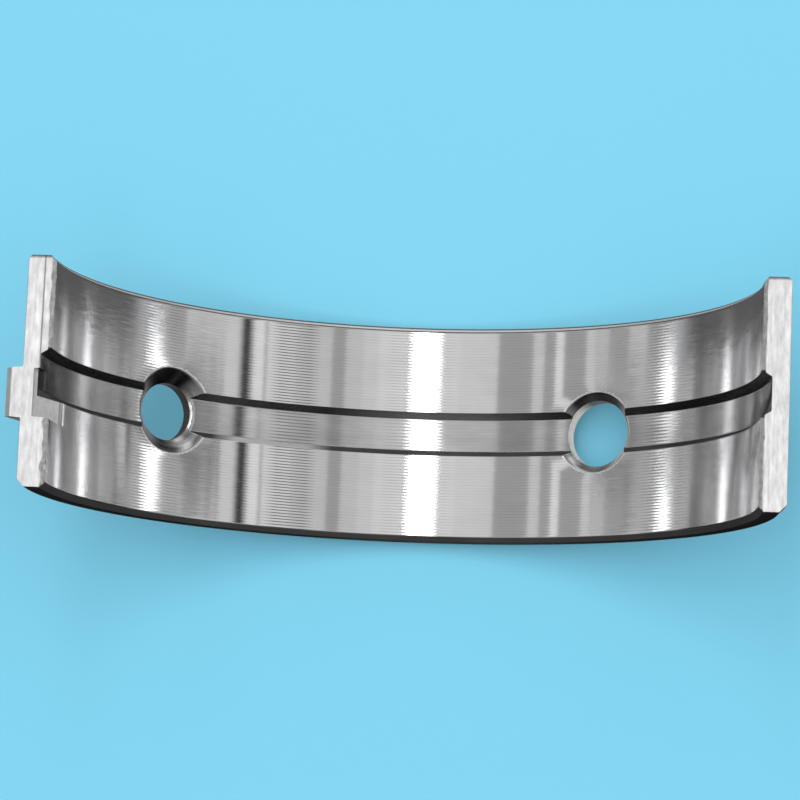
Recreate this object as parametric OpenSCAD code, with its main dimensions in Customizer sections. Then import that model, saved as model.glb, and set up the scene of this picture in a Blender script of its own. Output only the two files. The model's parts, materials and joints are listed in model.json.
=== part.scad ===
// Half shell of a plain main bearing: a thin half ring with an oil groove round the
// middle of its bore, two countersunk oil holes and a pressed locating tang at one end.
// Millimetres. The bore axis is Y through the origin, the joint faces look up along +Z
// in the plane z = 0, and the crown is the lowest point of the back.

/* [Shell] */
// Diameter of the housing bore that the back seats in
housing_d = 65; // [40:0.5:120]
// Wall thickness from bore to back
wall = 2.4; // [1.5:0.05:4]
// Width along the bore axis
width = 20; // [12:0.5:40]

/* [Edges] */
// Cut on the bore edge of both rims
bore_edge = 0.45; // [0.1:0.05:0.8]
// Cut on the back edge of the front rim (-Y)
front_back_edge = 0.65; // [0.1:0.05:1]
// Cut on the back edge of the rear rim (+Y)
rear_back_edge = 0.3; // [0.1:0.05:1]
// Cut between each joint face and the bore
joint_edge = 0.35; // [0.1:0.05:0.8]

/* [Oil groove] */
// Width of the groove at the bore surface
groove_w = 4; // [2.5:0.1:7]
// Depth of the groove below the bore surface
groove_depth = 0.9; // [0.4:0.05:1.3]
// Lean of each groove wall from square
groove_flank = 30; // [10:1:40]

/* [Oil holes] */
// Angle from the crown to the hole on the tang's side
tang_side_at = 47.5; // [20:0.5:65]
// Diameter of the hole on the tang's side
tang_side_d = 5.2; // [3:0.1:6.5]
// Diameter of its countersink at the bore surface
tang_side_sink = 7.8; // [7.2:0.1:11]
// Included angle of its countersink, which stands square to the bore
tang_side_cone = 90; // [80:1:110]
// Angle from the crown to the hole on the plain side
plain_side_at = 32; // [20:0.5:65]
// Diameter of the hole on the plain side
plain_side_d = 6.1; // [3:0.1:6.5]
// Diameter of its countersink at the bore surface
plain_side_sink = 7.4; // [7.2:0.1:11]
// Included angle of its countersink, which stands square to the bore
plain_side_cone = 75; // [70:1:110]
// Lean of both holes from radial, towards the crown
hole_lean = 14; // [0:1:16]

/* [Locating tang] */
// Width of the tang along the bore axis
tang_w = 4.4; // [3:0.1:7]
// Place of the tang's middle along the bore axis
tang_y = -1.9; // [-4:0.1:4]
// How far the tang is pressed out, and its recess in
tang_h = 1.4; // [0.8:0.05:2]
// Length round the back over which the tang runs out
tang_run = 6; // [4:0.25:10]
// Cut on the tang's outer edge at the joint face
tang_edge = 0.45; // [0.1:0.05:0.6]
// How much narrower the recess is than the tang, on each side
punch_margin = 0.1; // [0:0.05:0.4]
// Straight drop of the recess below the joint face
recess_drop = 0.6; // [0.2:0.1:1.5]
// Length round the bore over which the recess runs out
recess_run = 5.2; // [3.5:0.1:9]

/* [Hidden] */
// True circles
$fn = 180;
back_r = housing_d / 2;
bore_r = back_r - wall;
half_w = width / 2;
floor_w = groove_w - 2 * groove_depth * tan(groove_flank);
// Overshoot of every cut past the surface it opens
past = wall / 2;
recess_w = tang_w - 2 * punch_margin;

// Point on the tang's end at radius r, an arc length s round from the joint face
function end_point(r, s) = let (a = s / r * 180 / PI) [-r * cos(a), -r * sin(a)];
// Point b carried on past itself along the line from a
function carry(a, b, by) = b + (b - a) * by / norm(b - a);

// Section of the wall through the bore axis: radius across, bore axis up
module wall_section() {
    polygon([
        [bore_r + bore_edge, -half_w],
        [back_r - front_back_edge, -half_w],
        [back_r, -half_w + front_back_edge],
        [back_r, half_w - rear_back_edge],
        [back_r - rear_back_edge, half_w],
        [bore_r + bore_edge, half_w],
        [bore_r, half_w - bore_edge],
        [bore_r, groove_w / 2],
        [bore_r + groove_depth, floor_w / 2],
        [bore_r + groove_depth, -floor_w / 2],
        [bore_r, -groove_w / 2],
        [bore_r, -half_w + bore_edge]
    ]);
}

// Half ring with the crown down
module half_ring() {
    rotate([-90, 0, 0]) rotate_extrude(angle = 180) wall_section();
}

// Outline in the X-Z plane carried w along the bore axis about its middle at y
module across(w, y) {
    translate([0, y + w / 2, 0]) rotate([90, 0, 0]) linear_extrude(w) children();
}

// Metal pressed out of the back at the joint face
module tang() {
    top = [-(back_r + tang_h), -tang_edge];
    out = end_point(back_r, tang_run);
    across(tang_w, tang_y) polygon([
        [-(back_r - past), 0],
        [-(back_r + tang_h - tang_edge), 0],
        top,
        carry(top, out, wall / 6),
        end_point(back_r - past, tang_run)
    ]);
}

// Hollow that the punch leaves in the bore behind the tang
module tang_recess() {
    deep = [-(bore_r + tang_h), -recess_drop];
    out = carry(deep, end_point(bore_r, recess_run), past);
    across(recess_w, tang_y) polygon([
        [deep[0], past],
        deep,
        out,
        [out[0], past]
    ]);
}

// One oil hole at an angle from the crown: leaning drill and square countersink
module oil_hole(at, lean, d, sink, cone) {
    slope = tan(cone / 2);
    tip = 0.35 * d;
    translate([bore_r * sin(at), 0, -bore_r * cos(at)]) rotate([0, -at, 0]) {
        rotate([0, -lean, 0]) translate([0, 0, -2 * wall]) cylinder(d = d, h = 2 * wall + past);
        rotate_extrude() polygon([
            [0, (tip - sink / 2) / slope],
            [tip, (tip - sink / 2) / slope],
            [sink / 2 + past * slope, past],
            [0, past]
        ]);
    }
}

// Broken edge between one joint face and the bore
module joint_edge_cut() {
    across(width + 2 * past, 0) polygon([
        [bore_r + joint_edge + past, past],
        [bore_r - past, -joint_edge - past],
        [bore_r - past, past]
    ]);
}

module bearing_shell() {
    color("silver") difference() {
        union() {
            half_ring();
            tang();
        }
        tang_recess();
        oil_hole(-tang_side_at, hole_lean, tang_side_d, tang_side_sink, tang_side_cone);
        oil_hole(plain_side_at, -hole_lean, plain_side_d, plain_side_sink, plain_side_cone);
        joint_edge_cut();
        mirror([1, 0, 0]) joint_edge_cut();
    }
}

bearing_shell();
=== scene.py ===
import json
import math
import bpy
import numpy as np
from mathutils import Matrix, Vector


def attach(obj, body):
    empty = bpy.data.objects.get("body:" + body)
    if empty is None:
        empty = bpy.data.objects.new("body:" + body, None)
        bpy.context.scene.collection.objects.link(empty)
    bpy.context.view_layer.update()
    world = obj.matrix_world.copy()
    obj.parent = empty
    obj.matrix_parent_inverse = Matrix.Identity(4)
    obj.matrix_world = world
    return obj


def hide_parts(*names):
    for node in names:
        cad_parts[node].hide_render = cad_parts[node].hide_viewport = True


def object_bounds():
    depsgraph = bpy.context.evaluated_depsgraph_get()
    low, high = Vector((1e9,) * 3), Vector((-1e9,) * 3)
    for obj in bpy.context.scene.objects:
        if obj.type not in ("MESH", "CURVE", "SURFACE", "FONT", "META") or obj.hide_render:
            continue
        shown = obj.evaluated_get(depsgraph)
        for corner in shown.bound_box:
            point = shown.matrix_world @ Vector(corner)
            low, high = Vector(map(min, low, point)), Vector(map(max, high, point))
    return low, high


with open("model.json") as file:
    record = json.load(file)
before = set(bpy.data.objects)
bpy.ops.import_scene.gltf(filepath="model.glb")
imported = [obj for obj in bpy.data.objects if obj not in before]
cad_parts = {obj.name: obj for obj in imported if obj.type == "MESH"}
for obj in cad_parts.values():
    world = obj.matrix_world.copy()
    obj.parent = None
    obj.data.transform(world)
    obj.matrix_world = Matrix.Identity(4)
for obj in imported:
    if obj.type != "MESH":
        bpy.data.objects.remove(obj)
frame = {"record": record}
cadLow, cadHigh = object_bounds()
scene = bpy.context.scene
scene.view_settings.view_transform = "Standard"
scene.cycles.glossy_bounces = 12  # light runs round the bore several times
print("frame in, CAD box", [round(x, 4) for x in cadLow], [round(x, 4) for x in cadHigh])

mm = 0.001
mounts = {mount["name"]: mount for mount in frame["record"]["mounts"]}


# A length of the frame in millimetres
def inMm(length):
    return round(length / mm, 3)


# Camera: nearly straight down into the bore, a little from the front rim
viewSet = {
    "lens": 160.243,
    "sensor": 36.0,
    "place": (0.01981, -0.04736, 0.29638),
    "turn": (8.9218, 3.4919, 2.4222),
    "clip": (0.01, 20.0),
}


def placeCamera():
    lensData = bpy.data.cameras.new("view")
    lensData.lens = viewSet["lens"]
    lensData.sensor_width = viewSet["sensor"]
    lensData.clip_start, lensData.clip_end = viewSet["clip"]
    eye = bpy.data.objects.new("view", lensData)
    eye.location = viewSet["place"]
    eye.rotation_euler = [math.radians(x) for x in viewSet["turn"]]
    scene.collection.objects.link(eye)
    scene.camera = eye


placeCamera()
print("camera set")

# The shell as the source has it, millimetres and degrees, with its main sizes from the frame
shellSet = {
    "backR": inMm(cadHigh[0]),
    "boreR": mounts["journal_bore"]["dims"]["r_mm"],
    "halfWide": inMm(cadHigh[1]),
    "boreEdge": 0.45,
    "frontBackEdge": 0.65,
    "rearBackEdge": 0.3,
    "jointEdge": 0.35,
    "grooveHalf": 2.0,
    "grooveDeep": 0.9,
    "grooveFlank": 30.0,
    "sinkCap": 2.1,      # cone depth kept inside the wall, the drill takes the rest
    "coneReach": 0.4,    # radians round a hole in which its cone is worked out
    "endReach": 0.6,     # radians from a joint face in which its cuts are worked out
}
holeSet = {
    "tangSide": {"at": -47.5, "lean": 14.0, "wide": 2 * mounts["oil_hole_tang_side"]["dims"]["r_mm"],
                 "sink": 7.8, "cone": 90.0, "wall": "darkHole"},
    "plainSide": {"at": 32.0, "lean": -14.0, "wide": 2 * mounts["oil_hole_plain_side"]["dims"]["r_mm"],
                  "sink": 7.4, "cone": 75.0, "wall": "brightHole"},
}
tangSet = {
    "midY": inMm(mounts["tang"]["pos_m"][1]),
    "wide": 4.4,
    "high": round(inMm(-cadLow[0]) - shellSet["backR"], 3),
    "run": 6.0,
    "edge": 0.45,
    "margin": 0.1,
    "drop": 0.6,
    "recessRun": 5.2,
    "side": 0.1,         # width over which the sheared sides fall
    "reach": 0.35,       # radians past which neither slope is there
    "steepest": 0.2,     # keeps the line of the edge cut finite
}
softSet = {
    "groove": 0.05,
    "corner": 0.12,
    "rim": 0.08,
    "joint": 0.06,
    "sink": 0.11,
    "sinkCap": 0.1,
    "recess": 0.06,
    "tangFoot": 0.25,
    "tangEdge": 0.08,
    "lip": 0.04,
}


def softMax(a, b, soft):
    return np.maximum(a, b) + np.maximum(soft - np.abs(a - b), 0.0) ** 2 / (4 * soft)


def softMin(a, b, soft):
    return -softMax(-a, -b, soft)


# One where y is inside a band, falling over its sides
def bandAt(y, mid, half, side):
    t = np.clip((half - np.abs(y - mid)) / side + 0.5, 0.0, 1.0)
    return t * t * (3 - 2 * t)


# Radius of a straight line, seen from the bore axis, at an angle down from the joint face
def lineRadius(down, high, low):
    nx, nd = low[1] - high[1], high[0] - low[0]
    reach = nx * high[0] + nd * high[1]
    across = nx * np.cos(down) + nd * np.sin(down)
    return np.where(down < tangSet["reach"], reach / np.maximum(across, 1e-6), 0.0)


# Half the width of the groove's flat floor
def grooveFloor():
    s = shellSet
    return s["grooveHalf"] - s["grooveDeep"] * math.tan(math.radians(s["grooveFlank"]))


# Radius of the countersink, a cone that stands square to the bore
def sinkRadius(phi, y, hole):
    slope = math.tan(math.radians(hole["cone"] / 2))
    mouth = hole["sink"] / 2 + slope * shellSet["boreR"]
    off = phi - math.radians(hole["at"])
    s, c = np.sin(off), np.cos(off)
    qa = s * s - slope * slope * c * c
    qb = 2 * slope * c * mouth
    qc = y * y - mouth * mouth
    near = np.abs(off) < shellSet["coneReach"]
    root = np.sqrt(np.maximum(qb * qb - 4 * qa * qc, 0.0))
    return np.where(near, (root - qb) / np.where(near, 2 * qa, -1.0), 0.0)


# Middle of a hole's mouth, the way up its leaning axis, and the way along the arc
def holeFrame(hole):
    at = math.radians(hole["at"])
    axis = at + math.radians(hole["lean"])
    foot = np.array([shellSet["boreR"] * math.sin(at), 0, -shellSet["boreR"] * math.cos(at)])
    up = np.array([-math.sin(axis), 0, math.cos(axis)])
    side = np.array([math.cos(axis), 0, math.sin(axis)])
    return foot, up, side


# Lip where the lining is rolled over round a countersink
lipSet = {"wide": 0.4, "rise": 0.07}


# Radius of the bore with its groove and rim edges
def plainBore(phi, y):
    s = shellSet
    bore = s["boreR"] + 0 * phi
    wall = bore + (s["grooveHalf"] - np.abs(y)) / math.tan(math.radians(s["grooveFlank"]))
    r = softMax(bore, softMin(wall, bore + s["grooveDeep"], softSet["corner"]), softSet["groove"])
    return softMax(r, bore + np.abs(y) - s["halfWide"] + s["boreEdge"], softSet["rim"])


# Repeatable smooth noise between 0 and 1
def grain(u, v, seed):
    iu, iv = np.floor(u), np.floor(v)
    fu, fv = u - iu, v - iv
    fu, fv = fu * fu * (3 - 2 * fu), fv * fv * (3 - 2 * fv)

    def spot(a, b):
        x = np.sin(a * 127.1 + b * 311.7 + seed * 74.7) * 43758.5453
        return x - np.floor(x)

    low = spot(iu, iv) * (1 - fu) + spot(iu + 1, iv) * fu
    high = spot(iu, iv + 1) * (1 - fu) + spot(iu + 1, iv + 1) * fu
    return low * (1 - fv) + high * fv


# Noise above a share of its range, stretched back to 0 to 1
def above(noise, share):
    return np.clip((noise - share) / (1 - share), 0, 1)


# Broken edge of the joint faces, torn most at the front of the tang's end
tornSet = {
    "fine": 0.16,
    "fineMid": 0.6,
    "torn": 0.3,
    "share": 0.6,
    "calm": 0.45,        # how much of it the other stretches have
    "tornTo": -4.0,      # where the torn stretch ends along y
    "steps": {"fine": 2.6, "torn": 1.1, "crumb": 5.0},
    "ends": (17.0, 41.0),    # row of the noise at the tang's end and at the plain end
    "reach": 0.3,        # radians from the joint face
}


def raggedEdge(phi, y):
    t = tornSet
    steps = t["steps"]
    side = np.where(phi < 0, *t["ends"])
    fine = t["fine"] * (grain(y * steps["fine"], side, 4) - t["fineMid"])
    torn = t["torn"] * above(grain(y * steps["torn"], side + 7.0, 9), t["share"])
    level = np.where((phi < 0) & (y < t["tornTo"]), 1.0, t["calm"])
    return shellSet["jointEdge"] + level * (fine + torn * grain(y * steps["crumb"], side, 6))


# Radius of everything cut on the bore side
def boreSurface(phi, y):
    s, t = shellSet, tangSet
    bore = s["boreR"]
    down = math.pi / 2 - np.abs(phi)
    kept = np.minimum(down, s["endReach"])
    r = plainBore(phi, y)
    for hole in holeSet.values():
        cone = sinkRadius(phi, y, hole)
        off = (r - cone) * math.tan(math.radians(hole["cone"] / 2))
        lip = bore + lipSet["rise"] * np.minimum(lipSet["wide"] - off, lipSet["wide"])
        r = softMax(r, lip, softSet["lip"])
        cone = softMin(cone, bore + s["sinkCap"], softSet["sinkCap"])
        r = softMax(r, cone, softSet["sink"])
    deep = (bore + t["high"], t["drop"])
    outAt = t["recessRun"] / bore
    ramp = lineRadius(down, deep, (bore * math.cos(outAt), bore * math.sin(outAt)))
    recess = softMin(ramp, deep[0] / np.cos(kept), softSet["recess"])
    inBand = bandAt(y, t["midY"], t["wide"] / 2 - t["margin"], t["side"]) * (phi < 0)
    r = r + (softMax(r, recess, softSet["recess"]) - r) * inBand
    broken = (bore + raggedEdge(phi, y)) / (np.cos(down) + np.sin(kept))
    return softMax(r, np.where(down < tornSet["reach"], broken, 0.0), softSet["joint"])


# Radius of the back, with the pressed tang at the -X end
def backSurface(phi, y):
    s, t = shellSet, tangSet
    back = s["backR"]
    down = math.pi / 2 - np.abs(phi)
    r = softMin(back + 0 * phi, back - s["frontBackEdge"] + y + s["halfWide"], softSet["rim"])
    r = softMin(r, back - s["rearBackEdge"] - y + s["halfWide"], softSet["rim"])
    topR = back + t["high"]
    outAt = t["run"] / back
    top = lineRadius(down, (topR, t["edge"]), (back * math.cos(outAt), back * math.sin(outAt)))
    edge = (topR - t["edge"]) / np.maximum(np.cos(down) - np.sin(down), t["steepest"])
    tang = softMin(top, edge, softSet["tangEdge"])
    inBand = bandAt(y, t["midY"], t["wide"] / 2 - t["side"] / 2, t["side"]) * (phi < 0)
    return r + (softMax(r, tang, softSet["tangFoot"]) - r) * inBand


def pointOn(r, phi, y):
    return np.stack([r * np.sin(phi), y + 0 * r, -r * np.cos(phi)], -1)


def unit(v):
    return v / np.maximum(np.linalg.norm(v, axis=-1, keepdims=True), 1e-12)


# Steps over which the slope of a surface is taken: millimetres along the axis, radians round it
slopeSet = {"along": 0.004, "turn": 0.004 / 30}


# Smooth direction that a surface faces, sign 1 towards the bore axis
def facing(surface, phi, y, sign):
    def at(p, v):
        return pointOn(surface(p, v), p, v)

    d, turn = slopeSet["along"], slopeSet["turn"]
    alongPhi = at(phi + turn, y) - at(phi - turn, y)
    alongY = at(phi, y + d) - at(phi, y - d)
    return unit(np.cross(alongPhi, alongY)) * sign


# Small nicks and rolled edges of the joint faces, as depth below the face
nickSet = {
    "wave": 0.012,
    "edge": 0.05,
    "edgeWide": 0.12,
    "nick": 0.09,
    "nickShare": 0.72,
    "reach": 0.9,
    "steps": {"wave": (0.9, 1.5), "nick": (1.7, 2.0), "edge": (2.3, 1.0)},
}


def nickDepth(y, across, seed):
    n = nickSet

    def patch(name, more):
        alongStep, acrossStep = n["steps"][name]
        return grain(y * alongStep, across * acrossStep, seed + more)

    edge = np.exp(-across / n["edgeWide"]) + np.exp(-(1 - across) / n["edgeWide"])
    torn = above(patch("nick", 5), n["nickShare"])
    return n["wave"] * patch("wave", 0) + edge * (n["edge"] * patch("edge", 2) + n["nick"] * torn)


# Grid lines: the given ones, with the gaps filled at each run's step
def gridLines(given, runs, coarse):
    given = sorted(set(round(float(x), 4) for x in given))
    lines = [given[0]]
    for a, b in zip(given[:-1], given[1:]):
        mid = (a + b) / 2
        step = min([s for lo, hi, s in runs if lo <= mid <= hi] + [coarse])
        count = max(1, math.ceil((b - a) / step - 1e-6))
        lines += list(np.linspace(a, b, count + 1)[1:])
    return np.array(lines)


meshSet = {
    "fine": 0.13,
    "coarse": 0.9,
    "coarseY": 0.45,
    "around": 4.9,             # half length of the fine stretch at each hole
    "middle": 4.5,             # half width of the fine middle
    "tangEnd": (7.5, 0.25),    # length at the tang's end, and its step
    "drillSides": 144,
    "drillEnds": (-5.0, 3.5),  # along the hole's axis, from the bore
    "through": [0.0, 0.03, *np.linspace(0.12, 0.88, 9), 0.97, 1.0],  # rows through the wall
}
# Lines that the lattice has at each edge, as distances from it
lineSet = {
    "tangEnd": (0.05, 0.12, 0.2, 0.28, 0.35, 0.4, 0.45, 0.52, 0.573, 0.63, 0.72, 0.85, 1.0),
    "plainEnd": (0.05, 0.12, 0.2, 0.28, 0.35, 0.42, 0.6),
    "rim": (0.0, -0.05),
    "boreEdge": (-0.1, -0.05, 0.0, 0.05, 0.1),
    "groove": (-0.06, -0.03, 0.0, 0.03, 0.06),
    "grooveFloor": (-0.08, 0.0, 0.08),
    "tangSide": (-0.5, -0.25, 0.0, 0.25, 0.5),
    "backEdge": (-0.05, 0.0, 0.05),
}


def shellLines():
    s, t, m = shellSet, tangSet, meshSet
    end = s["boreR"] * math.pi / 2
    arcs = [-end, end]
    arcs += [-end + x for x in lineSet["tangEnd"]]
    arcs += [end - x for x in lineSet["plainEnd"]]
    runs = [(-end, -end + m["tangEnd"][0], m["tangEnd"][1])]
    for hole in holeSet.values():
        mid = math.radians(hole["at"]) * s["boreR"]
        runs.append((mid - m["around"], mid + m["around"], m["fine"]))
        arcs += [mid - m["around"], mid + m["around"]]
    phis = gridLines(arcs, runs, m["coarse"]) / s["boreR"]
    tangHalves = (t["wide"] / 2 - t["side"] / 2, t["wide"] / 2 - t["margin"])
    ys = [-m["middle"], m["middle"]]
    for side in (-1, 1):
        ys += [side * (s["halfWide"] + x) for x in lineSet["rim"]]
        ys += [side * (s["halfWide"] - s["boreEdge"] + x) for x in lineSet["boreEdge"]]
        ys += [side * (s["grooveHalf"] + x) for x in lineSet["groove"]]
        ys += [side * (grooveFloor() + x) for x in lineSet["grooveFloor"]]
        for half in tangHalves:
            ys += [t["midY"] + side * (half + x * t["side"]) for x in lineSet["tangSide"]]
    ys += [-s["halfWide"] + s["frontBackEdge"] + x for x in lineSet["backEdge"]]
    ys += [s["halfWide"] - s["rearBackEdge"] + x for x in lineSet["backEdge"]]
    return phis, gridLines(ys, [(-m["middle"], m["middle"], m["fine"])], m["coarseY"])


# Every finish on the shell, and the surface that it lies on
finishOn = {
    "boredBore": "bore",
    "cutGroove": "bore",
    "grooveWall": "bore",
    "grooveFront": "bore",
    "sunkCone": "bore",
    "mouthBurr": "bore",
    "pressedRecess": "bore",
    "rimEdge": "bore",
    "brokenEdge": "bore",
    "broachedJoint": "joint",
    "turnedRim": "rim",
    "rolledBack": "back",
    "pressedTang": "back",
    "darkHole": "hole",
    "brightHole": "hole",
}
finishes = list(finishOn)
slotFor = {name: number for number, name in enumerate(finishes)}

# How far lattice points move onto a countersink's mouth, as shares of the fine step, and where they may
snapSet = {"near": 0.51, "most": 0.75, "turns": 3, "probe": 0.002, "inset": 0.2, "half": 4.4,
           "wallLine": 0.09, "floorLine": 0.11}


# Moves lattice points that lie near a countersink's mouth onto it, and tells the side of the others
def snapToMouths(phi, y):
    s, n, fine = shellSet, snapSet, meshSet["fine"]
    bore = s["boreR"]
    phi, y = phi.copy(), y.copy()
    side = -np.ones(phi.shape, int)
    onWall = np.abs(np.abs(y) - s["grooveHalf"]) < n["wallLine"]
    onLine = onWall | (np.abs(np.abs(y) - grooveFloor()) < n["floorLine"])
    for hole in holeSet.values():
        def over(p, v):
            return sinkRadius(p, v, hole) - plainBore(p, v)

        arc = np.abs(phi * bore - math.radians(hole["at"]) * bore)
        near = (arc < meshSet["around"] - n["inset"]) & (np.abs(y) < n["half"])
        p, v, line = phi[near], y[near], onLine[near]
        p0, v0 = p.copy(), v.copy()
        mark = np.where(over(p, v) > 0, 1, -1)
        for turn in range(n["turns"]):
            f, d = over(p, v), n["probe"]
            byArc = (over(p + d / bore, v) - over(p - d / bore, v)) / (2 * d)
            byY = np.where(line, 0.0, (over(p, v + d) - over(p, v - d)) / (2 * d))
            size = np.maximum(byArc ** 2 + byY ** 2, 1e-4)
            if turn == 0:
                snap = np.abs(f) / np.sqrt(size) < n["near"] * fine
            p = np.where(snap, p - f * byArc / size / bore, p)
            v = np.where(snap, v - f * byY / size, v)
        far = np.hypot((p - p0) * bore, v - v0) > n["most"] * fine
        snap &= ~far
        phi[near], y[near] = np.where(snap, p, p0), np.where(snap, v, v0)
        side[near] = np.where(snap, 0, np.maximum(mark, side[near]))
    return phi, y, side


def cell(g):
    return g[:-1, :-1], g[1:, :-1], g[1:, 1:], g[:-1, 1:]


# Which cells take which finish: past an edge by margin, and deeper than pressed in the recess
zoneSet = {"margin": 0.03, "pressed": 0.2}


# Finish of each cell on the bore and on the back, and the finish beside a countersink's mouth
def zones(phis, ys, side):
    s, t, z = shellSet, tangSet, zoneSet
    midPhi = ((phis[1:] + phis[:-1]) / 2)[:, None] + 0 * ys[None, 1:]
    midY = ((ys[1:] + ys[:-1]) / 2)[None, :] + 0 * phis[1:, None]
    below = s["boreR"] * (math.pi / 2 - np.abs(midPhi))
    offTang = np.abs(midY - t["midY"])
    groove = np.abs(midY) < s["grooveHalf"] + z["margin"]
    cutTo = np.where(groove, s["boreR"] + s["grooveDeep"], s["boreR"])
    depth = boreSurface(midPhi, midY) - cutTo
    sa, sb, sc, sd = cell(side)
    cone = sa + sb + sc + sd > 0
    recess = (midPhi < 0) & (offTang < t["wide"] / 2 - t["margin"] + t["side"] / 2)
    recess &= (below < t["recessRun"]) & (depth > z["pressed"])
    inner = np.where(groove, slotFor["cutGroove"], slotFor["boredBore"])
    wall = np.where(midY > 0, slotFor["grooveWall"], slotFor["grooveFront"])
    inner = np.where(groove & (np.abs(midY) > grooveFloor() + z["margin"]), wall, inner)
    inner = np.where(np.abs(midY) > s["halfWide"] - s["boreEdge"], slotFor["rimEdge"], inner)
    edge = np.where(groove, inner, slotFor["mouthBurr"])
    inner = np.where(cone, slotFor["sunkCone"], np.where(sa * sb * sc * sd == 0, edge, inner))
    inner = np.where((below < s["jointEdge"]) & ~groove, slotFor["brokenEdge"], inner)
    inner = np.where(recess, slotFor["pressedRecess"], inner)
    tang = (midPhi < 0) & (offTang < t["wide"] / 2) & (below < t["run"])
    outer = np.where(tang, slotFor["pressedTang"], slotFor["rolledBack"])
    return inner, outer, edge


# Points of the lattice's skin, and the number of each by its place
def skinPoints(phis, ys, phiIn, yIn):
    share = np.array(meshSet["through"])
    phiGrid, yGrid = np.meshgrid(phis, ys, indexing="ij")
    inner, outer = boreSurface(phiIn, yIn), backSurface(phiGrid, yGrid)
    skin = np.zeros((len(phis), len(ys), len(share)), bool)
    skin[:, :, [0, -1]] = skin[:, [0, -1], :] = skin[[0, -1], :, :] = True
    i, j, k = np.nonzero(skin)
    index = -np.ones(skin.shape, int)
    index[i, j, k] = np.arange(len(i))
    r = inner[i, j] + (outer[i, j] - inner[i, j]) * share[k]
    points = pointOn(r, np.where(k == 0, phiIn[i, j], phis[i]), np.where(k == 0, yIn[i, j], ys[j]))
    for sign, seed in ((-1, 3), (1, 8)):
        below = shellSet["boreR"] * (math.pi / 2 - sign * phis[i])
        here = below < nickSet["reach"]
        fade = 1 - below[here] / nickSet["reach"]
        points[here, 2] -= fade * nickDepth(ys[j[here]], share[k[here]], seed)
    return points, index


# Closed skin of the half ring: bore, back, both rims and both joint faces share one lattice
def latticeMesh():
    phis, ys = shellLines()
    phiIn, yIn, side = snapToMouths(*np.meshgrid(phis, ys, indexing="ij"))
    points, index = skinPoints(phis, ys, phiIn, yIn)
    inner, outer, edge = zones(phis, ys, side)
    faces, slots = [], []

    def addFaces(a, b, c, d, slot):
        faces.extend(np.stack([a.ravel(), b.ravel(), c.ravel(), d.ravel()], -1).tolist())
        slots.extend(np.broadcast_to(slot, a.shape).ravel().tolist())

    # Cells that a mouth crosses from corner to corner are two triangles
    sa, sb, sc, sd = cell(side)
    a, b, c, d = cell(index[:, :, 0])
    flat = (sa == 0) & (sc == 0) & (sb * sd < 0)
    turned = (sb == 0) & (sd == 0) & (sa * sc < 0)
    whole = ~(flat | turned)
    addFaces(a[whole], b[whole], c[whole], d[whole], inner[whole])
    halves = ((flat, ((a, b, c, sb), (a, c, d, sd))), (turned, ((b, c, d, sc), (b, d, a, sa))))
    for here, tips in halves:
        for u, v, w, tip in tips:
            faces.extend(np.stack([u[here], v[here], w[here]], -1).tolist())
            slots.extend(np.where(tip[here] > 0, slotFor["sunkCone"], edge[here]).tolist())
    addFaces(*cell(index[:, :, -1])[::-1], outer)
    addFaces(*cell(index[:, 0, :])[::-1], slotFor["turnedRim"])
    addFaces(*cell(index[:, -1, :]), slotFor["turnedRim"])
    addFaces(*cell(index[0]), slotFor["broachedJoint"])
    addFaces(*cell(index[-1])[::-1], slotFor["broachedJoint"])
    mesh = bpy.data.meshes.new("shell_lattice")
    mesh.from_pydata((points * mm).tolist(), [], faces)
    mesh.polygons.foreach_set("material_index", np.array(slots, np.int32))
    mesh.update()
    return mesh


# Straight drill that goes through the wall along the leaning hole
def drillMesh(hole):
    foot, up, side = holeFrame(hole)
    turn = np.linspace(0, 2 * math.pi, meshSet["drillSides"], endpoint=False)
    out = np.cos(turn)[:, None] * side + np.sin(turn)[:, None] * np.array([0, 1.0, 0])
    ring = hole["wide"] / 2 * out
    points = np.concatenate([foot + up * h + ring for h in meshSet["drillEnds"]])
    n = len(turn)
    faces = [[a, (a + 1) % n, n + (a + 1) % n, n + a] for a in range(n)]
    faces += [list(range(n))[::-1], list(range(n, 2 * n))]
    mesh = bpy.data.meshes.new("drill")
    mesh.from_pydata((points * mm).tolist(), [], faces)
    mesh.polygons.foreach_set("material_index", np.full(len(faces), slotFor[hole["wall"]], np.int32))
    mesh.update()
    return mesh


def putIn(name, data):
    made = bpy.data.objects.new(name, data)
    scene.collection.objects.link(made)
    return made


def cutHoles(shell):
    for name, hole in holeSet.items():
        drill = putIn("drill_" + name, drillMesh(hole))
        for slot in finishes:
            drill.data.materials.append(bpy.data.materials[slot])
        cut = shell.modifiers.new("cut_" + name, "BOOLEAN")
        cut.operation, cut.solver, cut.object = "DIFFERENCE", "EXACT", drill
        bpy.context.view_layer.update()
        solved = shell.evaluated_get(bpy.context.evaluated_depsgraph_get())
        done = bpy.data.meshes.new_from_object(solved)
        shell.modifiers.clear()
        shell.data = done
        bpy.data.objects.remove(drill)


# A loose shell springs open: its bore faces a little less inward towards both ends than a true half
# circle, by a share of the angle, and it leans a little along the axis
springSet = {"share": 0.042, "lean": 0.052}

# Lay map: one unit in millimetres, how far the tang's joint face is set off, and the cones' radius round
laySet = {"unit": 100, "tangJoint": 100, "coneRound": 4.0}


# Smooth normals of every surface at points of the shell
def surfaceNormals(phi, y):
    n = facing(boreSurface, phi, y, 1.0)
    ease = -springSet["share"] * phi
    sprung = [
        n[:, 0] * np.cos(ease) - n[:, 2] * np.sin(ease),
        n[:, 1] - springSet["lean"],
        n[:, 0] * np.sin(ease) + n[:, 2] * np.cos(ease),
    ]
    return {
        "bore": np.stack(sprung, -1),
        "back": facing(backSurface, phi, y, -1.0),
        "rim": np.stack([0 * y, np.sign(y), 0 * y], -1),
        "joint": np.stack([0 * y, 0 * y, 1 + 0 * y], -1),
    }


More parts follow.
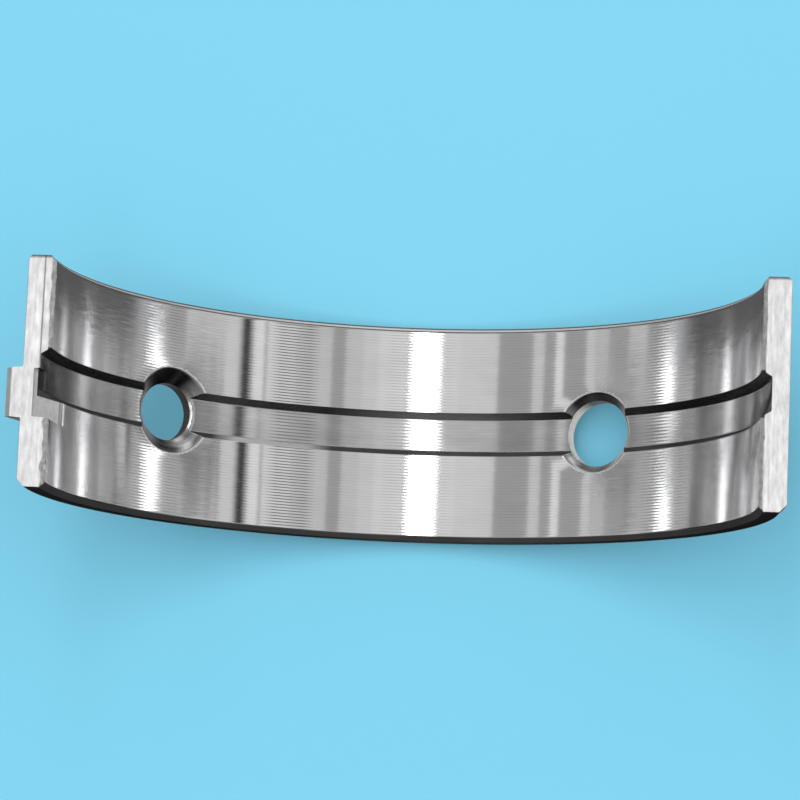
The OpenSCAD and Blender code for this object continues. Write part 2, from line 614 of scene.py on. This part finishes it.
# Points of a mesh in millimetres, and the point and the finish of each corner of its faces
def meshParts(mesh):
    flat = np.zeros(len(mesh.vertices) * 3)
    corner = np.zeros(len(mesh.loops), np.int32)
    sides = np.zeros(len(mesh.polygons), np.int32)
    slots = np.zeros(len(mesh.polygons), np.int32)
    mesh.vertices.foreach_get("co", flat)
    mesh.loops.foreach_get("vertex_index", corner)
    mesh.polygons.foreach_get("loop_total", sides)
    mesh.polygons.foreach_get("material_index", slots)
    return flat.reshape(-1, 3) / mm, corner, np.repeat(slots, sides)


# Exact smooth normals and the lay of the tool marks, from the same surfaces
def dressMesh(mesh):
    points, corner, slotOf = meshParts(mesh)
    phi, y = np.arctan2(points[:, 0], -points[:, 2]), points[:, 1]
    radius = np.hypot(points[:, 0], points[:, 2])
    lies = np.array(list(finishOn.values()))[slotOf]
    normals = surfaceNormals(np.clip(phi, -math.pi / 2, math.pi / 2), y)
    blended = np.zeros(points.shape)
    for kind in normals:
        present = np.zeros(len(points), bool)
        present[corner[lies == kind]] = True
        blended[present] += normals[kind][present]
    out = unit(blended)[corner]
    lay = np.stack([y[corner], radius[corner] * phi[corner]], -1)
    faced = lies == "rim"
    lay[faced] = np.stack([radius, shellSet["backR"] * phi], -1)[corner[faced]]
    faced = lies == "joint"
    lay[faced] = np.stack([radius + laySet["tangJoint"] * (phi < 0), y], -1)[corner[faced]]
    for hole in holeSet.values():
        foot, up, side = holeFrame(hole)
        off = points - foot
        along = off @ up
        plane = off - along[:, None] * up
        reach = np.linalg.norm(plane, axis=1)
        turn = np.arctan2(off[:, 1], off @ side)
        here = (lies == "hole") & (reach[corner] < hole["sink"])
        out[here] = -unit(plane)[corner[here]]
        lay[here] = np.stack([along, turn * reach], -1)[corner[here]]
        cone = (slotOf == slotFor["sunkCone"]) & (reach[corner] < hole["sink"])
        lay[cone] = np.stack([reach, turn * laySet["coneRound"]], -1)[corner[cone]]
    uv = mesh.uv_layers.new(name="lay")
    uv.data.foreach_set("uv", (lay / laySet["unit"]).astype(np.float32).ravel())
    mesh.polygons.foreach_set("use_smooth", np.ones(len(mesh.polygons), bool))
    mesh.normals_split_custom_set(out.astype(np.float32).tolist())
    mesh.update()


# Materials. Each takes its tool marks from the lay map: u across the marks, v along them
def newFinish(name):
    made = bpy.data.materials.new(name)
    made.use_nodes = True
    nodes = made.node_tree.nodes
    nodes.clear()
    out = nodes.new("ShaderNodeOutputMaterial")
    skin = nodes.new("ShaderNodeBsdfPrincipled")
    made.node_tree.links.new(skin.outputs["BSDF"], out.inputs["Surface"])
    skin.inputs["Metallic"].default_value = 1.0
    return made.node_tree, skin


def layTangent(tree, skin):
    tangent = tree.nodes.new("ShaderNodeTangent")
    tangent.direction_type = "UV_MAP"
    tangent.uv_map = "lay"
    tree.links.new(tangent.outputs["Tangent"], skin.inputs["Tangent"])


# Lay map in millimetres, stretched by across and along
def layCoords(tree, across, along):
    uv = tree.nodes.new("ShaderNodeUVMap")
    uv.uv_map = "lay"
    scale = tree.nodes.new("ShaderNodeMapping")
    scale.inputs["Scale"].default_value = (laySet["unit"] * across, laySet["unit"] * along, 1.0)
    tree.links.new(uv.outputs["UV"], scale.inputs["Vector"])
    return scale.outputs["Vector"]


def layNoise(tree, across, along, detail, rough):
    noise = tree.nodes.new("ShaderNodeTexNoise")
    noise.inputs["Scale"].default_value = 1.0
    noise.inputs["Detail"].default_value = detail
    noise.inputs["Roughness"].default_value = rough
    tree.links.new(layCoords(tree, across, along), noise.inputs["Vector"])
    return noise.outputs["Fac"]


def spanned(tree, value, low, high, fromLow=0.3, fromHigh=0.7):
    span = tree.nodes.new("ShaderNodeMapRange")
    span.inputs["From Min"].default_value, span.inputs["From Max"].default_value = fromLow, fromHigh
    span.inputs["To Min"].default_value, span.inputs["To Max"].default_value = low, high
    tree.links.new(value, span.inputs["Value"])
    return span.outputs["Result"]


def tinted(tree, value, dark, pale):
    mix = tree.nodes.new("ShaderNodeMix")
    mix.data_type = "RGBA"
    mix.inputs["A"].default_value, mix.inputs["B"].default_value = (*dark, 1), (*pale, 1)
    tree.links.new(value, mix.inputs["Factor"])
    return mix.outputs["Result"]


# A colour brought towards another by a share
def mixed(tree, how, colour, other, share):
    mix = tree.nodes.new("ShaderNodeMix")
    mix.data_type, mix.blend_type = "RGBA", how
    mix.inputs["B"].default_value = (*other, 1)
    tree.links.new(colour, mix.inputs["A"])
    tree.links.new(share, mix.inputs["Factor"])
    return mix.outputs["Result"]


def joined(tree, how, a, b):
    node = tree.nodes.new("ShaderNodeMath")
    node.operation = how
    tree.links.new(a, node.inputs[0])
    tree.links.new(b, node.inputs[1])
    return node.outputs[0]


def parted(tree, vector):
    parts = tree.nodes.new("ShaderNodeSeparateXYZ")
    tree.links.new(vector, parts.inputs["Vector"])
    return parts.outputs


def magnitude(tree, value):
    size = tree.nodes.new("ShaderNodeMath")
    size.operation = "ABSOLUTE"
    tree.links.new(value, size.inputs[0])
    return size.outputs[0]


def raised(tree, skin, layers, normal=None):
    for value, depth in layers:
        bump = tree.nodes.new("ShaderNodeBump")
        bump.inputs["Strength"].default_value = 1.0
        bump.inputs["Distance"].default_value = depth * mm
        tree.links.new(value, bump.inputs["Height"])
        if normal:
            tree.links.new(normal, bump.inputs["Normal"])
        normal = bump.outputs["Normal"]
    tree.links.new(normal, skin.inputs["Normal"])


# Each finish: colour from dark to pale, roughness range, stretch across the marks, and
# marks: (across, along, depth mm) of each layer of tool marks
# cloud: (across, along) of the patches of colour
# brushed: (pitch of the feed mm, tilt across, tilt along, shade of the lines)
# rubbed: a painted highlight, lighter at (place along the arc, full out to, fading out to, level)
# line: a painted highlight in the same way, across the marks
# sided: another level where the surface faces (axis, from, to full, level); it paints shade on the
# countersinks and a reflection in the plain-side hole
# seam: a darker line at (place across, full, out, place along, full, out, share)
# ends: painted shade, darker away from (place along, clear out to, full from, share)
finishSet = {
    "boredBore": {"dark": 0.75, "pale": 0.81, "rough": (0.12, 0.15), "aniso": 1.0,
                  "marks": [(7.0, 0.05, 0.0008)], "brushed": (0.267, 0.05, 0.026, 0.8)},
    # Groove floor: toned darker than the bore and black towards both joint faces, painted shade of the
    # groove
    "cutGroove": {"dark": 0.52, "pale": 0.68, "rough": (0.15, 0.2), "aniso": 1.0,
                  "marks": [(6.0, 0.06, 0.0015)], "brushed": (0.3, 0.05, 0.03, 0.6),
                  "ends": (0.0, 35.0, 44.0, 0.92)},
    # Upper groove wall: near-black as painted shade, a little lighter round the crown as a painted
    # highlight
    "grooveWall": {"dark": 0.06, "pale": 0.12, "rough": (0.22, 0.32), "aniso": 0.4,
                   "marks": [(5.0, 0.06, 0.003)], "rubbed": (2.0, 3.0, 11.0, 0.4)},
    # Lower groove wall: near-black as painted shade, with a bright painted highlight towards the tang
    # end
    "grooveFront": {"dark": 0.07, "pale": 0.14, "rough": (0.45, 0.55), "aniso": 0.3,
                    "marks": [(5.0, 0.06, 0.003)], "rubbed": (-14.5, 3.5, 6.0, 0.98)},
    # Countersinks: darkened where they face the front rim (-Y), a painted shade
    "sunkCone": {"dark": 0.22, "pale": 0.6, "rough": (0.18, 0.28), "aniso": 0.5,
                 "marks": [(5.0, 0.08, 0.006)], "cloud": (2.5, 0.4),
                 "sided": ("Y", -0.42, -0.64, 0.05)},
    "mouthBurr": {"dark": 0.75, "pale": 0.98, "rough": (0.4, 0.55), "aniso": 0.1,
                  "marks": [(3.0, 3.0, 0.004)], "cloud": (1.5, 1.5)},
    "pressedRecess": {"dark": 0.8, "pale": 1.0, "rough": (0.4, 0.55), "aniso": 0.2,
                      "marks": [(1.2, 0.9, 0.02), (4.0, 3.0, 0.006)], "cloud": (1.1, 0.9)},
    # Bore-to-rim chamfers: dark grey as painted shade, with a painted highlight line along the rear rim
    "rimEdge": {"dark": 0.13, "pale": 0.2, "rough": (0.55, 0.65), "aniso": 0.2,
                "marks": [(5.0, 0.05, 0.002)], "line": (9.77, 0.07, 0.13, 0.98)},
    "brokenEdge": {"dark": 0.45, "pale": 0.85, "rough": (0.3, 0.5), "aniso": 0.2,
                   "marks": [(2.0, 2.0, 0.03)], "cloud": (1.5, 1.2)},
    # Joint faces: darker along the edge by the rear rim, a painted shade on its rounding
    "broachedJoint": {"dark": 0.58, "pale": 0.82, "rough": (0.4, 0.55), "aniso": 0.3,
                      "marks": [(5.0, 0.12, 0.008), (2.0, 1.3, 0.014)], "cloud": (2.4, 0.7),
                      "seam": (131.05, 0.02, 0.1, 6.0, 5.0, 6.5, 0.75),
                      "ends": (-1.0, 10.68, 10.9, 0.75)},
    # Rim faces: dark grey as painted shade, lightened round the crown as a painted reflection
    "turnedRim": {"dark": 0.25, "pale": 0.36, "rough": (0.25, 0.4), "aniso": 0.6,
                  "marks": [(6.0, 0.05, 0.004)], "rubbed": (6.0, 5.0, 16.0, 0.75)},
    "rolledBack": {"dark": 0.5, "pale": 0.62, "rough": (0.3, 0.42), "aniso": 0.3,
                   "marks": [(3.0, 0.06, 0.004), (0.6, 0.5, 0.004)]},
    "pressedTang": {"dark": 0.62, "pale": 0.76, "rough": (0.3, 0.42), "aniso": 0.2,
                    "marks": [(2.0, 0.5, 0.01)]},
    # Tang-side drill wall: near-black, a painted shade
    "darkHole": {"dark": 0.02, "pale": 0.05, "rough": (0.4, 0.5), "aniso": 0.2,
                 "marks": [(4.0, 0.2, 0.005)]},
    # Plain-side drill wall: dark grey as painted shade, with a painted reflection of a pale floor on the
    # wall that faces +X
    "brightHole": {"dark": 0.1, "pale": 0.2, "rough": (0.5, 0.6), "aniso": 0.2,
                   "marks": [(4.0, 0.2, 0.005)], "sided": ("X", 0.3, 0.7, 1.0)},
}
# What the finishes share: the cloud of those that name none, detail and roughness of the cloud's and
# the marks' noise, the grey of a seam, and how much cooler than neutral the metal is
sharedSet = {
    "cloud": (0.35, 0.12),
    "cloudNoise": (3.0, 0.6),
    "markNoise": (2.0, 0.5),
    "seam": 0.12,
    "cool": 1.006,
}


# One at a place along the lay, or across it, falling to nothing on both sides of it
def awayFrom(tree, at, full, out, way="Y"):
    off = tree.nodes.new("ShaderNodeMath")
    off.operation = "SUBTRACT"
    off.inputs[1].default_value = at
    tree.links.new(parted(tree, layCoords(tree, 1.0, 1.0))[way], off.inputs[0])
    return spanned(tree, magnitude(tree, off.outputs[0]), 1.0, 0.0, full, out)


# Where the tool chattered, millimetres along the bore from the crown, and how much
chatterSet = [
    {"at": -12.3, "full": 1.4, "out": 2.6, "level": 1.0},
    {"at": -26.8, "full": 1.8, "out": 3.4, "level": 0.4},
    {"at": -0.5, "full": 2.4, "out": 3.6, "level": 0.3},
    {"at": 25.2, "full": 1.8, "out": 3.4, "level": 0.4},
]
# Noises of a brushed surface as (across, along, detail, roughness), and their ranges
brushSet = {
    "calm": (0.9, 0.5, 2.0, 0.6),
    "calmRange": (0.03, 0.12),
    "stray": (2.6, 0.3, 2.0, 0.6),
    "strayRange": (-0.04, 0.04),
    "scatter": (37.0, 0.4, 1.0, 0.5),
}


# Normals of a surface brushed along its lay: wide scatter across the marks, and lines at the tool's
# feed that lean a little along it, each more and less on its way
def brushed(tree, pitch, across, along, shade):
    b = brushSet
    line = tree.nodes.new("ShaderNodeMath")
    line.operation = "SINE"
    tree.links.new(parted(tree, layCoords(tree, 2 * math.pi / pitch, 1.0))["X"], line.inputs[0])
    rough = spanned(tree, layNoise(tree, *b["calm"]), *b["calmRange"])
    for c in chatterSet:
        here = awayFrom(tree, c["at"], c["full"], c["out"])
        rough = joined(tree, "MAXIMUM", rough, spanned(tree, here, 0.0, c["level"], 0.0, 1.0))
    way = joined(tree, "MULTIPLY", line.outputs[0], rough)
    stray = spanned(tree, layNoise(tree, *b["stray"]), *b["strayRange"])
    scatter = layNoise(tree, *b["scatter"])
    lean = joined(tree, "ADD", way, stray)
    tilt = tree.nodes.new("ShaderNodeCombineXYZ")
    tree.links.new(spanned(tree, scatter, 0.5 - across / 2, 0.5 + across / 2), tilt.inputs["X"])
    tree.links.new(spanned(tree, lean, 0.5 - along / 2, 0.5 + along / 2, -1.0, 1.0), tilt.inputs["Y"])
    tilt.inputs["Z"].default_value = 1.0
    turned = tree.nodes.new("ShaderNodeNormalMap")
    turned.uv_map = "lay"
    tree.links.new(tilt.outputs["Vector"], turned.inputs["Color"])
    return turned.outputs["Normal"], spanned(tree, way, 0.0, shade, 0.0, 1.0)


# Nearly neutral metal of one level
def grey(level):
    return (level, level, level * sharedSet["cool"])


# Base colour of a finish with what changes it from place to place: the seam line, and painted
# highlights, painted reflections and painted shade
def seamAndPaintedLight(tree, f, colour):
    # Painted highlight: the base colour lightened round a place along the arc
    if "rubbed" in f:
        at, full, out, level = f["rubbed"]
        colour = mixed(tree, "LIGHTEN", colour, grey(level), awayFrom(tree, at, full, out))
    # Painted light by facing: the colour brought to another level where the surface faces one way
    if "sided" in f:
        way, low, high, level = f["sided"]
        place = tree.nodes.new("ShaderNodeNewGeometry")
        facingWay = parted(tree, place.outputs["Normal"])[way]
        colour = mixed(tree, "MIX", colour, grey(level), spanned(tree, facingWay, 0.0, 1.0, low, high))
    # Painted highlight: the base colour lightened round a place across the marks
    if "line" in f:
        at, full, out, level = f["line"]
        colour = mixed(tree, "LIGHTEN", colour, grey(level), awayFrom(tree, at, full, out, "X"))
    if "seam" in f:
        at, full, out, along, alongFull, alongOut, share = f["seam"]
        here = awayFrom(tree, at, full, out, "X")
        here = joined(tree, "MULTIPLY", here, awayFrom(tree, along, alongFull, alongOut))
        here = spanned(tree, here, 0.0, share, 0.0, 1.0)
        colour = mixed(tree, "MIX", colour, grey(sharedSet["seam"]), here)
    # Painted shade: the base colour darkened away from a place along the lay
    if "ends" in f:
        at, full, out, share = f["ends"]
        inside = spanned(tree, awayFrom(tree, at, full, out), share, 0.0, 0.0, 1.0)
        colour = mixed(tree, "MIX", colour, grey(0), inside)
    return colour


def makeFinish(name):
    f = finishSet[name]
    tree, skin = newFinish(name)
    skin.inputs["Anisotropic"].default_value = f["aniso"]
    layTangent(tree, skin)
    cloud = layNoise(tree, *f.get("cloud", sharedSet["cloud"]), *sharedSet["cloudNoise"])
    colour = tinted(tree, spanned(tree, cloud, 0, 1), grey(f["dark"]), grey(f["pale"]))
    normal = None
    if "brushed" in f:
        normal, shade = brushed(tree, *f["brushed"])
        colour = mixed(tree, "MIX", colour, grey(0), shade)
    tree.links.new(seamAndPaintedLight(tree, f, colour), skin.inputs["Base Color"])
    streaks = []
    for across, along, depth in f["marks"]:
        streaks.append((layNoise(tree, across, along, *sharedSet["markNoise"]), depth))
    tree.links.new(spanned(tree, streaks[0][0], *f["rough"]), skin.inputs["Roughness"])
    raised(tree, skin, streaks, normal)


for name in finishes:
    makeFinish(name)
print("finishes made", len(finishes))

shell = putIn("machined_shell", latticeMesh())
for name in finishes:
    shell.data.materials.append(bpy.data.materials[name])
print("lattice made", len(shell.data.polygons), "faces")
cutHoles(shell)
dressMesh(shell.data)
shell.data.name = "machined_shell"
print("holes cut, normals set", len(shell.data.polygons), "faces")
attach(shell, "root")
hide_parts("bearing_shell")

# Floor under the crown, plain pale blue to the camera and the lamps. The metal's reflections see painted
# neutral colours in its place: a painted shadow before and behind the shell, a painted pale reflection
# under it and grey further off
floorSet = {
    "half": 2.0,
    "colour": (0.219, 0.626, 0.83),
    "before": (0.01, 0.01, 0.01),
    "behind": (0.1, 0.1, 0.1),
    "under": (0.9, 0.9, 0.9),
    "away": (0.42, 0.43, 0.44),
    "turnsAt": (-0.002, 0.002),
    "underTo": (0.007, 0.009),
    "awayFrom": (0.055, 0.09),
}


def layFloor():
    f = floorSet
    mesh = bpy.data.meshes.new("floor")
    h, z = f["half"], -shellSet["backR"] * mm
    mesh.from_pydata([(-h, -h, z), (h, -h, z), (h, h, z), (-h, h, z)], [], [(0, 1, 2, 3)])
    floor = putIn("floor", mesh)
    made = bpy.data.materials.new("floor_paper")
    made.use_nodes = True
    tree = made.node_tree
    tree.nodes.clear()
    out = tree.nodes.new("ShaderNodeOutputMaterial")
    skin = tree.nodes.new("ShaderNodeBsdfDiffuse")
    path = tree.nodes.new("ShaderNodeLightPath")
    place = tree.nodes.new("ShaderNodeNewGeometry").outputs["Position"]
    y = parted(tree, place)["Y"]
    reach = tree.nodes.new("ShaderNodeVectorMath")
    reach.operation = "LENGTH"
    tree.links.new(place, reach.inputs[0])
    paintedReflection = tinted(tree, spanned(tree, y, 0.0, 1.0, *f["turnsAt"]), f["before"], f["behind"])
    underHere = spanned(tree, magnitude(tree, y), 1.0, 0.0, *f["underTo"])
    paintedReflection = mixed(tree, "MIX", paintedReflection, f["under"], underHere)
    awayHere = spanned(tree, reach.outputs["Value"], 0.0, 1.0, *f["awayFrom"])
    paintedReflection = mixed(tree, "MIX", paintedReflection, f["away"], awayHere)
    # Glossy rays see the painted reflection colours, all other rays the floor's own colour
    shade = tinted(tree, path.outputs["Is Glossy Ray"], f["colour"], f["before"])
    tree.links.new(paintedReflection, shade.node.inputs["B"])
    tree.links.new(shade, skin.inputs["Color"])
    tree.links.new(skin.outputs["BSDF"], out.inputs["Surface"])
    mesh.materials.append(made)


layFloor()
print("floor laid")

# Light: strips in an arch over the bore axis, each with its angle from straight up and its radiance
lightSet = {
    "arch": 0.5,
    "long": 0.62,
    "midY": 0.05,
    "power": 2.07,       # watts for each square metre of strip at radiance 1
    "strips": [
        {"at": -3.7, "wide": 8.8, "level": 7.0},
        {"at": 4.5, "wide": 5.0, "level": 0.6},
        {"at": 9.5, "wide": 5.0, "level": 0.56},
        {"at": 14.5, "wide": 5.0, "level": 0.45},
        {"at": 20.0, "wide": 6.0, "level": 0.35},
        {"at": 32.0, "wide": 9.0, "level": 0.34},
        {"at": 43.5, "wide": 13.0, "level": 0.56},
        {"at": 53.0, "wide": 4.0, "level": 0.7},
        {"at": 70.5, "wide": 21.0, "level": 0.46},
        {"at": -12.0, "wide": 6.0, "level": 0.56},
        {"at": -18.5, "wide": 7.0, "level": 0.5},
        {"at": -25.0, "wide": 6.0, "level": 0.48},
        {"at": -42.0, "wide": 4.0, "level": 0.42},
        {"at": -49.5, "wide": 3.0, "level": 0.7},
        {"at": -61.0, "wide": 3.5, "level": 0.42},
        {"at": -65.5, "wide": 5.0, "level": 0.32},
        {"at": -80.0, "wide": 8.0, "level": 0.38},
    ],
    "fill": {"at": 0, "wide": 60, "level": 2.0},  # on the floor alone
    "flag": {"at": 57.6, "wide": 2.6},
    "flagLevel": 0.005,
}
# Glow of the room by direction: over the arch, past its two ends, low before the front rim and low
# beyond the rear rim, with the heights or distances along y between which each one changes
roomSet = {
    "over": 0.38,
    "ends": 0.42,
    "endsFrom": (0.5, 0.75),
    "front": 0.03,
    "frontTo": (-0.9, -0.8),
    "frontUpTo": (0.2, 0.35),
    "rear": 1.1,
    "rearFrom": (0.7, 0.85),
    "rearUpTo": (0.4, 0.5),
}


# Turns a lamp or a card to the bore from its place in the arch, out of the camera's sight
def hangAt(made, at):
    a = math.radians(at)
    made.location = (lightSet["arch"] * math.sin(a), lightSet["midY"], lightSet["arch"] * math.cos(a))
    made.rotation_euler = (0, a, 0)
    made.visible_camera = False


def stripLight(name, at, wide, level):
    lamp = bpy.data.lights.new(name, "AREA")
    lamp.shape = "RECTANGLE"
    lamp.size = 2 * lightSet["arch"] * math.tan(math.radians(wide) / 2)
    lamp.size_y = lightSet["long"]
    lamp.energy = level * lightSet["power"] * lamp.size * lamp.size_y
    made = putIn(name, lamp)
    hangAt(made, at)
    return made


# Black card between two strips
def hangFlag(at, wide):
    x, y = lightSet["arch"] * math.tan(math.radians(wide) / 2), lightSet["long"] / 2
    mesh = bpy.data.meshes.new("flag")
    mesh.from_pydata([(-x, -y, 0), (x, -y, 0), (x, y, 0), (-x, y, 0)], [], [(0, 1, 2, 3)])
    black = bpy.data.materials.new("flag_black")
    black.use_nodes = True
    skin = black.node_tree.nodes["Principled BSDF"]
    skin.inputs["Base Color"].default_value = (*[lightSet["flagLevel"]] * 3, 1)
    skin.inputs["Roughness"].default_value = 1.0
    mesh.materials.append(black)
    made = putIn("flag", mesh)
    hangAt(made, at)


def glowRoom():
    r = roomSet
    world = bpy.data.worlds.new("room")
    scene.world = world
    world.use_nodes = True
    tree = world.node_tree
    back = tree.nodes["Background"]
    coords = tree.nodes.new("ShaderNodeTexCoord")
    way = parted(tree, coords.outputs["Generated"])
    over = spanned(tree, magnitude(tree, way["Y"]), r["over"], r["ends"], *r["endsFrom"])
    front = spanned(tree, way["Y"], r["front"], 1.0, *r["frontTo"])
    front = joined(tree, "MAXIMUM", front, spanned(tree, way["Z"], 0.0, 1.0, *r["frontUpTo"]))
    over = joined(tree, "MULTIPLY", over, front)
    rear = spanned(tree, way["Z"], r["rear"], 0.0, *r["rearUpTo"])
    rear = joined(tree, "MULTIPLY", rear, spanned(tree, way["Y"], 0.0, 1.0, *r["rearFrom"]))
    tree.links.new(joined(tree, "MAXIMUM", over, rear), back.inputs["Strength"])
    back.inputs["Color"].default_value = (1, 1, 1, 1)


def lightRoom():
    hangFlag(**lightSet["flag"])
    for number, strip in enumerate(lightSet["strips"]):
        stripLight(f"strip_{number}", **strip)
    fill = stripLight("fill", **lightSet["fill"])
    fill.visible_glossy = False
    glowRoom()


lightRoom()
print("lights on")
